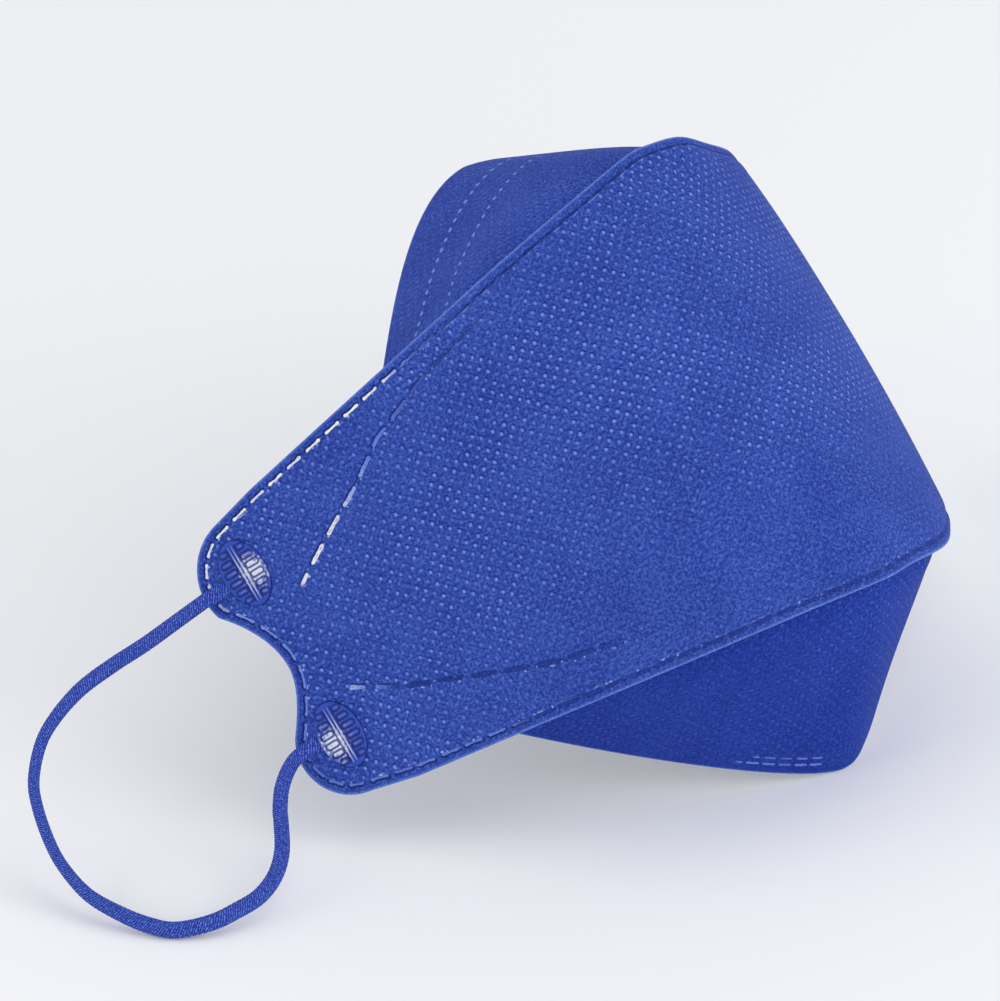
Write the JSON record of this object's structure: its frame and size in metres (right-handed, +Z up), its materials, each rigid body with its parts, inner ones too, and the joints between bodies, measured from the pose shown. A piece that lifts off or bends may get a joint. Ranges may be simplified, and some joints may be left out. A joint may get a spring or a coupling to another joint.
{
  "type": "disposable respirator",
  "caption": "Three-panel folding face mask, opened out, with a middle panel between nose and chin panels and an elastic ear loop on each side.",
  "frame": {"origin": "middle of the base of the mask's box, on the surface it stands on, without its loops", "axes": "+Z up from the surface, +X towards the wearer's left ear, -Y the way the front faces"},
  "size_m": [0.2068, 0.1196, 0.1013],
  "materials": {
    "outer_cloth": "royal blue spunbond nonwoven, point bonded",
    "flap_cloth": "royal blue spunbond nonwoven, point bonded",
    "weld_film": "nonwoven pressed to a glossy film by the weld",
    "elastic": "royal blue knitted elastic cord"
  },
  "bodies": {
    "root": {"middle_panel": "outer_cloth", "nose_panel": "flap_cloth", "chin_panel": "flap_cloth", "ear_weld_upper_left": "weld_film", "ear_weld_lower_left": "weld_film", "ear_weld_upper_right": "weld_film", "ear_weld_lower_right": "weld_film", "ear_loop_right": "elastic", "ear_loop_left": "elastic"}
  },
  "joints": []
}
